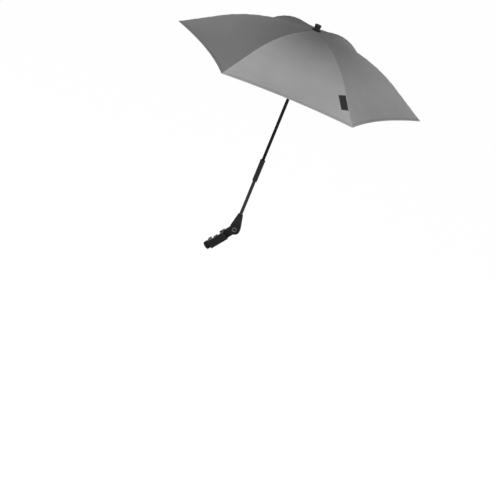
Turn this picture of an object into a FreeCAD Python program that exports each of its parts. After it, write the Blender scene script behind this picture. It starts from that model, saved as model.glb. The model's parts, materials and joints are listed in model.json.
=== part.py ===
# Pram parasol with a clamp for a frame tube, a swinging arm, a tilting pole and a folding six-rib canopy.
# Millimetres and degrees. +Z runs up the pole, and the origin is the centre of the tube in the clamp.
import FreeCAD
import Part

import math
import os

from FreeCAD import Vector

# Fits and general sizes
OVERRUN = 5.0  # how far every cutting tool runs past what it cuts
RUNNING_FIT = 0.05  # radial play of a pin or a shaft in its hole
SEAT_FIT = 0.05  # radial play between pieces that are pressed or glued together
SLIDE_GAP = 0.3  # play between pieces that slide past each other
TOUCH_GAP = 0.1  # play between pieces that lie against each other

# Clamp for the frame tube, drawn with the tube along X and the arm pivot above it
TUBE_RADIUS = 11.0
LINER_WALL = 2.0
LINER_HALF_ANGLE = 75.0
CLAMP_LEAN = 35.0  # turn of the clamp about Y, for a frame tube that slopes
CLAMP_WIDTH = 24.0
CLAMP_TOP_WALL = 6.0
CLAMP_BACK_WALL = 6.5
CLAMP_FRONT_LIP = 4.0
CLAMP_FLOOR_WALL = 9.0
CLAMP_EDGE_ROUND = 4.0
PIVOT_RISE = 50.0  # height of the arm pivot above the tube's centre
TANG_HALF_THICKNESS = 5.0
TANG_RADIUS = 15.0

# Clamping shoe, its pad and the thumb screw
SHOE_PAD_HALF_ANGLE = 36.0
SHOE_LENGTH = 20.0
SHOE_FRONT = 10.0
SHOE_HEIGHT = 11.5
SHOE_SOCKET_DEPTH = 4.0
SHOE_TRAVEL = 10.0
SCREW_RADIUS = 3.0
SCREW_PITCH = 2.0
KNOB_RADIUS = 12.0
KNOB_HEIGHT = 13.0
KNOB_GAP = 2.5  # under the clamp's floor when the clamp is closed
KNOB_SCALLOPS = 8
KNOB_SCALLOP_RADIUS = 2.6
KNOB_EDGE_ROUND = 1.5

# Arm: a fork on the clamp's tang that carries the pole
FORK_RADIUS = 16.0
FORK_CHEEK = 6.0
FORK_ROOT = 17.0  # height above the pivot at which the fork's slot ends
FORK_SHOULDER = 18.0  # height up to which the fork keeps its full width
SOCKET_TOP = 46.6  # height of the socket's mouth above the pivot
SOCKET_WALL = 2.3
SOCKET_FLOOR = 20.0
ARM_EDGE_ROUND = 1.6
WASHER_THICKNESS = 1.1
WASHER_RADIUS = 12.0
BOLT_RADIUS = 3.0
BOLT_HEAD_RADIUS = 7.0
BOLT_HEAD_HEIGHT = 3.4
BOLT_DIMPLE_RADIUS = 4.6
BOLT_DIMPLE_DEPTH = 1.4
BOLT_RIM_RADIUS = 1.0  # of the rounded rim between the dimple and the head's edge
NUT_FLATS = 10.0
NUT_HEIGHT = 5.0
SOCKET_RIVET_RADIUS = 1.5
SOCKET_RIVET_RISE = 34.0

# Poles, in heights above the arm pivot
POLE_RADIUS = 4.5
ROD_RADIUS = 4.9  # of the lower pole
POLE_WALL = 0.8
ROD_WALL = 1.2
RIM_RISE = 505.6  # height of the rib tips
HOUSING_FOOT = 158.6
HOUSING_LENGTH = 68.0
HOUSING_RADIUS = 7.25
HOUSING_EDGE_ROUND = 1.2
HOUSING_RIB_HEIGHT = 3.0
HOUSING_RIB_STEP = 0.5
TILT_AXIS_RISE = 8.0  # of the tilt pin above the housing's foot
TILT_PIN_RADIUS = 2.0
TONGUE_THICKNESS = 5.0
KNUCKLE_PLUG_LENGTH = 22.0
ROD_TOP_GAP = 0.5
FRICTION_PLUG_HEIGHT = 10.0
HOUSING_RIVET_RADIUS = 1.5
HOUSING_RIVET_RISE = 44.0

# Canopy profile along a rib, in heights above the rib tips
TIP_RADIUS = 360.0
APEX_RISE = 124.0
INNER_SLOPE = 5.5
OUTER_SLOPE = 30.5
KNEE_RADIUS = 430.0
FABRIC_THICKNESS = 0.8
FABRIC_HOLE_RADIUS = 6.2
GORE_GAP = 0.4  # between two neighbouring canopy gores
EDGE_SCALLOP = 19.0  # how far the hem curves in between two rib tips
GORE_SAG = 10.0  # how far the fabric hangs below the ribs halfway along a gore
RIB_COUNT = 6
GORE_ROWS = 15
GORE_COLUMNS = 5

# Ribs, stretchers, crown and runner
RIB_RADIUS = 1.5
RIB_GAP = 1.0  # between a rib and the fabric over it
RIB_END_SETBACK = 16.0
HINGE_RADIUS = 10.0  # distance of the crown's and the runner's hinge pins from the pole's axis
EYE_RADIUS = 1.9
SMALL_PIN_RADIUS = 0.8
CROWN_RADIUS = 13.0
CROWN_HEIGHT = 12.5
CROWN_CLEARANCE = 0.7
CROWN_PIN_LENGTH = 7.0
SLOT_PLAY = 0.3
TIP_CAP_WALL = 0.4
TIP_CAP_LENGTH = 18.0
TIP_CAP_NOSE = 4.0
CLIP_PLACE = 180.0  # distance of the rib clips from the pole's axis
CLIP_DROP = 4.5  # depth of the clip's pin below the rib's middle
CLIP_GRIP_DROP = 1.4  # depth of the clip's upper round ends below the rib's middle
CLIP_WALL = 1.2
CLIP_PIN_RADIUS = 0.9
STRETCHER_RADIUS = 1.4
STRETCHER_EYE_WIDTH = 2.6
STRETCHER_PIN_LENGTH = 6.4
RUNNER_FLANGE_RADIUS = 13.5
RUNNER_FLANGE_HALF = 6.0
RUNNER_SLEEVE_RADIUS = 7.6
RUNNER_SLEEVE_LENGTH = 22.0
RUNNER_GROOVES = 3
RUNNER_GROOVE_PITCH = 5.0
RUNNER_GROOVE_DEPTH = 0.8
RUNNER_EDGE_ROUND = 1.0

# Catch that holds the runner up
CATCH_NOSE_REACH = 2.2  # beyond the pole's surface
CATCH_NOSE_LENGTH = 13.0
CATCH_LEAF_THICKNESS = 0.8
CATCH_WIDTH = 2.6
CATCH_LEAF_LENGTH = 46.0
CATCH_WINDOW_PLAY = 0.5
CATCH_ANCHOR_LENGTH = 13.0
CATCH_SLOT_DEPTH = 8.0
CATCH_SLOT_WIDTH = 2.2

# Finial
FINIAL_HEIGHT = 16.8
FINIAL_BASE_RADIUS = 12.6
FINIAL_BASE_LIP = 1.6
FINIAL_WAIST_RADIUS = 8.4
FINIAL_WAIST_RISE = 7.4
FINIAL_TOP_RADIUS = 9.3
FINIAL_TOP_LIP = 11.8
FINIAL_DOME_LIP = 15.2
POLE_TOP_RISE = 12.0  # of the pole's end above the fabric

# Worked-out places
PIVOT = Vector(
    PIVOT_RISE * math.sin(math.radians(CLAMP_LEAN)),
    0,
    PIVOT_RISE * math.cos(math.radians(CLAMP_LEAN)),
)
FORK_GAP = TANG_HALF_THICKNESS + WASHER_THICKNESS + 2 * TOUCH_GAP
FORK_HALF_WIDTH = FORK_GAP + FORK_CHEEK
SOCKET_RADIUS = ROD_RADIUS + SOCKET_WALL
LINER_OUTER = TUBE_RADIUS + LINER_WALL
CLAMP_TOP = LINER_OUTER + CLAMP_TOP_WALL
CLAMP_INSIDE = LINER_OUTER + SLIDE_GAP
SHOE_FOOT = CLAMP_INSIDE * math.cos(math.radians(SHOE_PAD_HALF_ANGLE)) + SHOE_HEIGHT - LINER_WALL
CLAMP_THROAT = SHOE_FOOT + SHOE_TRAVEL + SLIDE_GAP
CLAMP_FOOT = CLAMP_THROAT + CLAMP_FLOOR_WALL
TILT_HEIGHT = HOUSING_FOOT + TILT_AXIS_RISE
HOUSING_TOP = HOUSING_FOOT + HOUSING_LENGTH
ROD_TOP = HOUSING_FOOT - ROD_TOP_GAP
PLUG_FOOT = TILT_HEIGHT + POLE_RADIUS + SLIDE_GAP
POLE_FOOT = PLUG_FOOT + FRICTION_PLUG_HEIGHT + TOUCH_GAP
RIB_DEPTH = FABRIC_THICKNESS + RIB_GAP + RIB_RADIUS
X_AXIS = Vector(1, 0, 0)
Y_AXIS = Vector(0, 1, 0)
Z_AXIS = Vector(0, 0, 1)
ORIGIN = Vector(0, 0, 0)


# Small builders

def cylinder(radius, length, base, axis):
    """A cylinder from its base point along an axis."""
    return Part.makeCylinder(radius, length, base, axis)


def centred_cylinder(radius, length, middle, axis):
    """A cylinder whose middle is the given point."""
    return Part.makeCylinder(radius, length, middle - axis * (length / 2), axis)


def block(low, high):
    """A box between two corners, each given as (x, y, z)."""
    size = [b - a for a, b in zip(low, high)]
    return Part.makeBox(*size, Vector(*low))


def prism(points, direction):
    """A straight prism over a closed outline of points."""
    return Part.Face(Part.makePolygon(points + points[:1])).extrude(direction)


def ring_sector(inner, outer, half_angle, half_length, middle_angle):
    """A sector of a tube along X, centred on an angle measured from +Z about X."""
    section = [
        Vector(-half_length, 0, inner),
        Vector(half_length, 0, inner),
        Vector(half_length, 0, outer),
        Vector(-half_length, 0, outer),
    ]
    face = Part.Face(Part.makePolygon(section + section[:1]))
    face.rotate(ORIGIN, X_AXIS, middle_angle - half_angle)
    return face.revolve(ORIGIN, X_AXIS, 2 * half_angle)


def on_clamp(shape):
    """Moves a shape from the clamp's own frame to the part's frame."""
    moved = shape.copy()
    moved.rotate(ORIGIN, Y_AXIS, CLAMP_LEAN)
    return moved


def on_pole(shape):
    """Moves a shape from the pole's frame, whose origin is the arm pivot, to the part's frame."""
    moved = shape.copy()
    moved.translate(PIVOT)
    return moved


def on_rim(shape):
    """Moves a shape from the canopy's frame, with its origin amid the rib tips, to the part's frame."""
    moved = shape.copy()
    moved.translate(PIVOT + Z_AXIS * RIM_RISE)
    return moved


def at_rib(shape, number):
    """Turns a shape drawn in the XZ plane to one rib's place, and moves it to the part's frame."""
    turned = shape.copy()
    turned.rotate(ORIGIN, Z_AXIS, rib_angle(number))
    return on_rim(turned)


def rib_angle(number):
    """Direction of a rib about the pole, in degrees; ribs are numbered from 1."""
    return (number - 1) * 360 / RIB_COUNT


# Canopy profile

def knee_points():
    """The two tangent points and the middle of the profile's knee, as (distance from the axis, height)."""
    inner, outer = math.radians(INNER_SLOPE), math.radians(OUTER_SLOPE)
    corner = (TIP_RADIUS * math.tan(outer) - APEX_RISE) / (math.tan(outer) - math.tan(inner))
    height = APEX_RISE - corner * math.tan(inner)
    reach = KNEE_RADIUS * math.tan((outer - inner) / 2)
    start = (corner - reach * math.cos(inner), height + reach * math.sin(inner))
    end = (corner + reach * math.cos(outer), height - reach * math.sin(outer))
    middle = (start[0] - KNEE_RADIUS * math.sin(inner), start[1] - KNEE_RADIUS * math.cos(inner))
    return start, end, middle


def profile(distance, depth=0.0):
    """Height and slope of the curve a given depth under the canopy's ridge, at a distance from the axis."""
    inner, outer = math.radians(INNER_SLOPE), math.radians(OUTER_SLOPE)
    middle = knee_points()[2]
    radius = KNEE_RADIUS - depth
    if distance < middle[0] + radius * math.sin(inner):
        return APEX_RISE - depth / math.cos(inner) - distance * math.tan(inner), inner
    if distance > middle[0] + radius * math.sin(outer):
        return (TIP_RADIUS - distance) * math.tan(outer) - depth / math.cos(outer), outer
    slope = math.asin((distance - middle[0]) / radius)
    return middle[1] + radius * math.cos(slope), slope


def below_rib(drop):
    """The point a given depth under the rib's middle at the clip's place, square to the rib."""
    height, slope = profile(CLIP_PLACE, RIB_DEPTH)
    return Vector(CLIP_PLACE - drop * math.sin(slope), 0, height - drop * math.cos(slope))


def linkage():
    """The hinge points of one rib in its own plane: crown pin, clip pin and runner pin."""
    crown = Vector(HINGE_RADIUS, 0, profile(HINGE_RADIUS, RIB_DEPTH)[0])
    clip = below_rib(CLIP_DROP)
    runner = Vector(HINGE_RADIUS, 0, 2 * clip.z - crown.z)
    return crown, clip, runner


# Clamp

def clamp_body():
    """The C-shaped clamp with the tang that the arm turns on, in one moulding."""
    half = CLAMP_WIDTH / 2
    back = -(CLAMP_INSIDE + CLAMP_BACK_WALL)
    front = CLAMP_INSIDE + CLAMP_FRONT_LIP
    body = block((-half, back, -CLAMP_FOOT), (half, front, CLAMP_TOP))
    long_edges = [e for e in body.Edges if abs(e.tangentAt(e.FirstParameter).x) > 0.5]
    body = body.makeFillet(CLAMP_EDGE_ROUND, long_edges)
    throat = block((-half - OVERRUN, -CLAMP_INSIDE, -CLAMP_THROAT), (half + OVERRUN, front + OVERRUN, 0))
    seat = centred_cylinder(LINER_OUTER + SEAT_FIT, CLAMP_WIDTH + 2 * OVERRUN, ORIGIN, X_AXIS)
    screw_hole = cylinder(
        SCREW_RADIUS + RUNNING_FIT, CLAMP_FLOOR_WALL + 2 * OVERRUN, -Z_AXIS * (CLAMP_FOOT + OVERRUN), Z_AXIS
    )
    body = body.cut(Part.makeCompound([throat, seat, screw_hole]))
    pivot = Z_AXIS * PIVOT_RISE
    tang = block(
        (-half, -TANG_HALF_THICKNESS, LINER_OUTER + SEAT_FIT), (half, TANG_HALF_THICKNESS, PIVOT_RISE)
    )
    tang = tang.cut(seat)
    boss = centred_cylinder(TANG_RADIUS, 2 * TANG_HALF_THICKNESS, pivot, Y_AXIS)
    hole = centred_cylinder(BOLT_RADIUS + RUNNING_FIT, 2 * (TANG_HALF_THICKNESS + OVERRUN), pivot, Y_AXIS)
    return body.fuse([tang, boss]).removeSplitter().cut(hole)


def clamp_liner():
    """The rubber lining that the tube seats in."""
    return ring_sector(TUBE_RADIUS, LINER_OUTER, LINER_HALF_ANGLE, CLAMP_WIDTH / 2, 0)


def shoe_pad():
    """The rubber pad on the shoe."""
    return ring_sector(TUBE_RADIUS, LINER_OUTER, SHOE_PAD_HALF_ANGLE, SHOE_LENGTH / 2, 180)


def clamp_shoe():
    """The sliding shoe that the screw presses against the tube."""
    half = SHOE_LENGTH / 2
    top = -CLAMP_INSIDE * math.cos(math.radians(SHOE_PAD_HALF_ANGLE)) + LINER_WALL
    shoe = block((-half, SLIDE_GAP - CLAMP_INSIDE, -SHOE_FOOT), (half, SHOE_FRONT, top))
    hollow = centred_cylinder(LINER_OUTER + SEAT_FIT, SHOE_LENGTH + 2 * OVERRUN, ORIGIN, X_AXIS)
    socket = cylinder(
        SCREW_RADIUS + RUNNING_FIT, SHOE_SOCKET_DEPTH + OVERRUN, -Z_AXIS * (SHOE_FOOT + OVERRUN), Z_AXIS
    )
    return shoe.cut(Part.makeCompound([hollow, socket]))


def thumb_screw():
    """The clamp's screw, from the shoe's socket into the knob."""
    top = -(SHOE_FOOT - SHOE_SOCKET_DEPTH + TOUCH_GAP)
    foot = -(CLAMP_FOOT + KNOB_GAP + KNOB_HEIGHT / 2)
    return cylinder(SCREW_RADIUS, top - foot, Z_AXIS * foot, Z_AXIS)


def thumb_knob():
    """The scalloped knob on the screw's lower end."""
    top = -(CLAMP_FOOT + KNOB_GAP)
    foot = top - KNOB_HEIGHT
    knob = cylinder(KNOB_RADIUS, KNOB_HEIGHT, Z_AXIS * foot, Z_AXIS)
    rims = [e for e in knob.Edges if e.Curve.TypeId == "Part::GeomCircle"]
    knob = knob.makeFillet(KNOB_EDGE_ROUND, rims)
    middle = Z_AXIS * (top - KNOB_HEIGHT / 2)
    cuts = [cylinder(SCREW_RADIUS + SEAT_FIT, KNOB_HEIGHT / 2 + OVERRUN, middle, Z_AXIS)]
    for step in range(KNOB_SCALLOPS):
        turn = 2 * math.pi * step / KNOB_SCALLOPS
        place = Vector(KNOB_RADIUS * math.cos(turn), KNOB_RADIUS * math.sin(turn), foot - OVERRUN)
        cuts.append(cylinder(KNOB_SCALLOP_RADIUS, KNOB_HEIGHT + 2 * OVERRUN, place, Z_AXIS))
    return knob.cut(Part.makeCompound(cuts))


# Arm

def yoke():
    """The forked arm: two cheeks on the tang that draw in to the pole's socket."""
    front = fork_outline(FORK_RADIUS, FORK_HALF_WIDTH)
    side = [
        Vector(-FORK_RADIUS, -FORK_HALF_WIDTH, -FORK_RADIUS),
        Vector(-FORK_RADIUS, FORK_HALF_WIDTH, -FORK_RADIUS),
        Vector(-FORK_RADIUS, FORK_HALF_WIDTH, FORK_SHOULDER),
        Vector(-FORK_RADIUS, SOCKET_RADIUS, SOCKET_TOP),
        Vector(-FORK_RADIUS, -SOCKET_RADIUS, SOCKET_TOP),
        Vector(-FORK_RADIUS, -FORK_HALF_WIDTH, FORK_SHOULDER),
    ]
    arm = front.common(prism(side, X_AXIS * (2 * FORK_RADIUS)))
    arm = arm.makeFillet(ARM_EDGE_ROUND, arm.Edges)
    slot = block(
        (-FORK_RADIUS - OVERRUN, -FORK_GAP, -FORK_RADIUS - OVERRUN),
        (FORK_RADIUS + OVERRUN, FORK_GAP, FORK_ROOT),
    )
    socket = cylinder(ROD_RADIUS + SEAT_FIT, SOCKET_TOP, Z_AXIS * SOCKET_FLOOR, Z_AXIS)
    bolt_hole = centred_cylinder(BOLT_RADIUS + SEAT_FIT, 2 * (FORK_HALF_WIDTH + OVERRUN), ORIGIN, Y_AXIS)
    outside = -Y_AXIS * (FORK_HALF_WIDTH + OVERRUN)
    head_seat = cylinder(BOLT_HEAD_RADIUS + SEAT_FIT, BOLT_HEAD_HEIGHT + OVERRUN, outside, Y_AXIS)
    nut_seat = hexagon(NUT_FLATS + 2 * SEAT_FIT, NUT_HEIGHT + OVERRUN, FORK_HALF_WIDTH - NUT_HEIGHT)
    rivet_hole = centred_cylinder(
        SOCKET_RIVET_RADIUS + SEAT_FIT, 2 * (FORK_HALF_WIDTH + OVERRUN), Z_AXIS * SOCKET_RIVET_RISE, Y_AXIS
    )
    return arm.cut(Part.makeCompound([slot, socket, bolt_hole, head_seat, nut_seat, rivet_hole]))


def fork_outline(radius, half_width):
    """The arm's drop-shaped front view, drawn out to its full width."""
    rise = SOCKET_TOP
    reach = math.hypot(SOCKET_RADIUS, rise)
    lean = math.atan2(SOCKET_RADIUS, rise) + math.acos(radius / reach)
    touch = Vector(radius * math.sin(lean), -half_width, radius * math.cos(lean))
    mirror = Vector(-touch.x, touch.y, touch.z)
    corner = Vector(SOCKET_RADIUS, -half_width, rise)
    other = Vector(-SOCKET_RADIUS, -half_width, rise)
    foot = Vector(0, -half_width, -radius)
    edges = [
        Part.Arc(mirror, foot, touch).toShape(),
        Part.makeLine(touch, corner),
        Part.makeLine(corner, other),
        Part.makeLine(other, mirror),
    ]
    return Part.Face(Part.Wire(edges)).extrude(Y_AXIS * (2 * half_width))


def hexagon(flats, length, start):
    """A hexagonal prism along Y that starts at a given Y."""
    radius = flats / 2 / math.cos(math.pi / 6)
    turns = [math.pi / 3 * step for step in range(6)]
    points = [Vector(radius * math.cos(t), start, radius * math.sin(t)) for t in turns]
    return prism(points, Y_AXIS * length)


def friction_washers():
    """The two fibre washers between the tang and the fork's cheeks."""
    washers = []
    for side in (-1, 1):
        inner = TANG_HALF_THICKNESS + TOUCH_GAP
        base = Z_AXIS * PIVOT_RISE + Y_AXIS * (side * inner)
        disc = cylinder(WASHER_RADIUS, WASHER_THICKNESS, base, Y_AXIS * side)
        hole = cylinder(BOLT_RADIUS + RUNNING_FIT, WASHER_THICKNESS, base, Y_AXIS * side)
        washers.append(disc.cut(hole))
    return Part.makeCompound(washers)


def pivot_bolt():
    """The bolt that the arm turns on, with a dished head and a rounded rim."""
    face = -FORK_HALF_WIDTH
    shoulder = face + BOLT_HEAD_HEIGHT
    head = cylinder(BOLT_HEAD_RADIUS, BOLT_HEAD_HEIGHT, Y_AXIS * face, Y_AXIS)
    shank = cylinder(BOLT_RADIUS, FORK_HALF_WIDTH - shoulder, Y_AXIS * shoulder, Y_AXIS)
    dimple = cylinder(BOLT_DIMPLE_RADIUS, BOLT_DIMPLE_DEPTH + OVERRUN, Y_AXIS * (face - OVERRUN), Y_AXIS)
    crest = (BOLT_DIMPLE_RADIUS + BOLT_HEAD_RADIUS) / 2
    rim = Part.makeTorus(crest, BOLT_RIM_RADIUS, Y_AXIS * face, Y_AXIS)
    return head.cut(dimple).fuse(rim).fuse(shank).removeSplitter()


def pivot_nut():
    """The hexagon nut in the back cheek."""
    nut = hexagon(NUT_FLATS, NUT_HEIGHT, FORK_HALF_WIDTH - NUT_HEIGHT)
    hole = centred_cylinder(BOLT_RADIUS + SEAT_FIT, 2 * (FORK_HALF_WIDTH + OVERRUN), ORIGIN, Y_AXIS)
    return nut.cut(hole)


def lower_rod():
    """The lower pole, from the arm's socket to the tilt joint."""
    foot = SOCKET_FLOOR + TOUCH_GAP
    rod = tube(ROD_RADIUS, ROD_WALL, foot, ROD_TOP)
    hole = centred_cylinder(
        SOCKET_RIVET_RADIUS + SEAT_FIT, 2 * (ROD_RADIUS + OVERRUN), Z_AXIS * SOCKET_RIVET_RISE, Y_AXIS
    )
    return rod.cut(hole)


def tube(radius, wall, foot, top):
    """A tube along Z between two heights."""
    outer = cylinder(radius, top - foot, Z_AXIS * foot, Z_AXIS)
    bore = cylinder(radius - wall, top - foot, Z_AXIS * foot, Z_AXIS)
    return outer.cut(bore)


def socket_half_width(height):
    """Half the arm's side-to-side width at a height of its tapered neck."""
    share = (height - FORK_SHOULDER) / (SOCKET_TOP - FORK_SHOULDER)
    return FORK_HALF_WIDTH + (SOCKET_RADIUS - FORK_HALF_WIDTH) * share


def socket_rivet():
    """The rivet that holds the lower pole in its socket."""
    half = socket_half_width(SOCKET_RIVET_RISE)
    return centred_cylinder(SOCKET_RIVET_RADIUS, 2 * half, Z_AXIS * SOCKET_RIVET_RISE, Y_AXIS)


# Tilt joint

def tilt_knuckle():
    """The plug in the lower pole's end, with the tongue that the upper pole tilts on."""
    plug_radius = ROD_RADIUS - ROD_WALL - SEAT_FIT
    plug = cylinder(plug_radius, KNUCKLE_PLUG_LENGTH, Z_AXIS * (ROD_TOP - KNUCKLE_PLUG_LENGTH), Z_AXIS)
    half = TONGUE_THICKNESS / 2
    tongue = block((-half, -POLE_RADIUS, ROD_TOP), (half, POLE_RADIUS, TILT_HEIGHT))
    head = centred_cylinder(POLE_RADIUS, TONGUE_THICKNESS, Z_AXIS * TILT_HEIGHT, X_AXIS)
    hole = centred_cylinder(
        TILT_PIN_RADIUS + RUNNING_FIT, TONGUE_THICKNESS + 2 * OVERRUN, Z_AXIS * TILT_HEIGHT, X_AXIS
    )
    return plug.fuse([tongue, head]).removeSplitter().cut(hole)


def tilt_housing():
    """The long collar on the upper pole: closed in front, slotted behind so that the pole tilts back."""
    sleeve = cylinder(HOUSING_RADIUS, HOUSING_LENGTH, Z_AXIS * HOUSING_FOOT, Z_AXIS)
    rims = [e for e in sleeve.Edges if e.Curve.TypeId == "Part::GeomCircle"]
    sleeve = sleeve.makeFillet(HOUSING_EDGE_ROUND, rims)
    band = cylinder(
        HOUSING_RADIUS + HOUSING_RIB_STEP,
        HOUSING_RIB_HEIGHT,
        Z_AXIS * (HOUSING_TOP - HOUSING_EDGE_ROUND - HOUSING_RIB_HEIGHT),
        Z_AXIS,
    )
    sleeve = sleeve.fuse(band)
    half = TONGUE_THICKNESS / 2 + SLIDE_GAP
    reach = POLE_RADIUS + SLIDE_GAP
    far = HOUSING_RADIUS + OVERRUN
    slot = block((-half, -reach, HOUSING_FOOT - OVERRUN), (half, far, TILT_HEIGHT + reach))
    bore = cylinder(POLE_RADIUS + SEAT_FIT, HOUSING_LENGTH, Z_AXIS * PLUG_FOOT, Z_AXIS)
    corner = block((-far, 0, HOUSING_FOOT - OVERRUN), (far, far, TILT_HEIGHT))
    swing = centred_cylinder(TILT_AXIS_RISE, 2 * far, Z_AXIS * TILT_HEIGHT, X_AXIS)
    pin_hole = centred_cylinder(TILT_PIN_RADIUS + SEAT_FIT, 2 * far, Z_AXIS * TILT_HEIGHT, X_AXIS)
    rivet_hole = centred_cylinder(
        HOUSING_RIVET_RADIUS + SEAT_FIT, 2 * far, Z_AXIS * (HOUSING_FOOT + HOUSING_RIVET_RISE), X_AXIS
    )
    return sleeve.cut(Part.makeCompound([slot, bore, pin_hole, rivet_hole])).cut(corner.cut(swing))


def tilt_pin():
    """The cross pin of the tilt joint."""
    return centred_cylinder(TILT_PIN_RADIUS, 2 * HOUSING_RADIUS, Z_AXIS * TILT_HEIGHT, X_AXIS)


def friction_plug():
    """The rubber plug that presses on the tongue's round end and holds the tilt."""
    return cylinder(POLE_RADIUS, FRICTION_PLUG_HEIGHT, Z_AXIS * PLUG_FOOT, Z_AXIS)


def housing_rivet():
    """The rivet that holds the collar on the upper pole."""
    return centred_cylinder(
        HOUSING_RIVET_RADIUS, 2 * HOUSING_RADIUS, Z_AXIS * (HOUSING_FOOT + HOUSING_RIVET_RISE), X_AXIS
    )


# Upper pole and catch

def runner_foot():
    """Height of the open runner's lower end above the rib tips."""
    return linkage()[2].z - RUNNER_FLANGE_HALF - RUNNER_SLEEVE_LENGTH


def catch_root():
    """Height of the point about which the catch bends, above the rib tips."""
    return runner_foot() - SLIDE_GAP - CATCH_NOSE_LENGTH - CATCH_LEAF_LENGTH


def upper_pole():
    """The upper pole, from the collar to the finial, with the catch's window."""
    pole = tube(POLE_RADIUS, POLE_WALL, POLE_FOOT, RIM_RISE + APEX_RISE + POLE_TOP_RISE)
    top = RIM_RISE + runner_foot() - SLIDE_GAP + CATCH_WINDOW_PLAY
    half = CATCH_WIDTH / 2 + CATCH_WINDOW_PLAY
    window = block(
        (-half, 0, top - CATCH_NOSE_LENGTH - 2 * CATCH_WINDOW_PLAY), (half, POLE_RADIUS + OVERRUN, top)
    )
    hole = centred_cylinder(
        HOUSING_RIVET_RADIUS + SEAT_FIT,
        2 * (POLE_RADIUS + OVERRUN),
        Z_AXIS * (HOUSING_FOOT + HOUSING_RIVET_RISE),
        X_AXIS,
    )
    return pole.cut(Part.makeCompound([window, hole]))


def runner_catch():
    """The spring leaf in the pole, whose nose stands out under the open runner."""
    bore = POLE_RADIUS - POLE_WALL
    outside = math.sqrt(bore ** 2 - (CATCH_WIDTH / 2) ** 2) - TOUCH_GAP
    inside = outside - CATCH_LEAF_THICKNESS
    top = runner_foot() - SLIDE_GAP
    foot = top - CATCH_NOSE_LENGTH
    root = catch_root()
    outline = [
        Vector(0, inside, root),
        Vector(0, outside, root),
        Vector(0, outside, foot),
        Vector(0, POLE_RADIUS + CATCH_NOSE_REACH, top),
        Vector(0, inside, top),
    ]
    leaf = prism(outline, X_AXIS * CATCH_WIDTH)
    leaf.translate(X_AXIS * (-CATCH_WIDTH / 2))
    return leaf


def catch_anchor():
    """The plug inside the pole that holds the catch's foot."""
    bore = POLE_RADIUS - POLE_WALL
    top = catch_root() + CATCH_SLOT_DEPTH
    plug = cylinder(bore - SEAT_FIT, CATCH_ANCHOR_LENGTH, Z_AXIS * (top - CATCH_ANCHOR_LENGTH), Z_AXIS)
    half = CATCH_WIDTH / 2 + TOUCH_GAP
    slot = block((-half, bore - CATCH_SLOT_WIDTH, catch_root() - TOUCH_GAP), (half, bore, top + OVERRUN))
    return plug.cut(slot)


# Crown, finial and runner

def radial_slots(inner, outer, half_width, foot, top):
    """One radial slot for each rib, as boxes."""
    slots = []
    for number in range(1, RIB_COUNT + 1):
        slot = block((inner, -half_width, foot), (outer, half_width, top))
        slot.rotate(ORIGIN, Z_AXIS, rib_angle(number))
        slots.append(slot)
    return slots


def crown():
    """The notched disc at the pole's top that the ribs hang in."""
    hinge = linkage()[0]
    top = profile(CROWN_RADIUS, FABRIC_THICKNESS)[0] - CROWN_CLEARANCE
    foot = top - CROWN_HEIGHT
    disc = cylinder(CROWN_RADIUS, CROWN_HEIGHT, Z_AXIS * foot, Z_AXIS)
    half = RIB_RADIUS + SLOT_PLAY
    inner = HINGE_RADIUS - EYE_RADIUS - SLOT_PLAY
    cuts = radial_slots(inner, CROWN_RADIUS + OVERRUN, half, foot - OVERRUN, top + OVERRUN)
    below = Z_AXIS * (foot - OVERRUN)
    cuts.append(cylinder(POLE_RADIUS + SEAT_FIT, CROWN_HEIGHT + 2 * OVERRUN, below, Z_AXIS))
    cuts += ring_of_pins(hinge, SMALL_PIN_RADIUS + SEAT_FIT, CROWN_PIN_LENGTH)
    return disc.cut(Part.makeCompound(cuts))


def ring_of_pins(hinge, radius, length):
    """One short pin across each rib's hinge point."""
    pins = []
    for number in range(1, RIB_COUNT + 1):
        pin = centred_cylinder(radius, length, hinge, Y_AXIS)
        pin.rotate(ORIGIN, Z_AXIS, rib_angle(number))
        pins.append(pin)
    return pins


def crown_pins():
    """The six hinge pins in the crown."""
    return Part.makeCompound(ring_of_pins(linkage()[0], SMALL_PIN_RADIUS, CROWN_PIN_LENGTH))


def finial():
    """The spool-shaped cap over the fabric and the pole's end."""
    bore = POLE_RADIUS + SEAT_FIT
    seat = SLIDE_GAP + APEX_RISE
    drop = math.tan(math.radians(INNER_SLOPE))
    roof = APEX_RISE + POLE_TOP_RISE + TOUCH_GAP
    inner = Vector(bore, 0, seat - bore * drop)
    edge = Vector(FINIAL_BASE_RADIUS, 0, seat - FINIAL_BASE_RADIUS * drop)
    lip = Vector(FINIAL_BASE_RADIUS, 0, APEX_RISE + FINIAL_BASE_LIP)
    waist = Vector(FINIAL_WAIST_RADIUS, 0, APEX_RISE + FINIAL_WAIST_RISE)
    flare = Vector(FINIAL_TOP_RADIUS, 0, APEX_RISE + FINIAL_TOP_LIP)
    shoulder = Vector(FINIAL_TOP_RADIUS, 0, APEX_RISE + FINIAL_DOME_LIP)
    crest = Vector(0, 0, APEX_RISE + FINIAL_HEIGHT)
    bulge = FINIAL_HEIGHT - FINIAL_DOME_LIP
    ball = (FINIAL_TOP_RADIUS ** 2 + bulge ** 2) / (2 * bulge)
    lean = math.asin(FINIAL_TOP_RADIUS / ball) / 2
    dome = crest + Vector(ball * math.sin(lean), 0, ball * (math.cos(lean) - 1))
    edges = [
        Part.makeLine(inner, edge),
        Part.makeLine(edge, lip),
        Part.Arc(lip, waist, flare).toShape(),
        Part.makeLine(flare, shoulder),
        Part.Arc(shoulder, dome, crest).toShape(),
        Part.makeLine(crest, Vector(0, 0, roof)),
        Part.makeLine(Vector(0, 0, roof), Vector(bore, 0, roof)),
        Part.makeLine(Vector(bore, 0, roof), inner),
    ]
    return Part.Face(Part.Wire(edges)).revolve(ORIGIN, Z_AXIS, 360)


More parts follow.
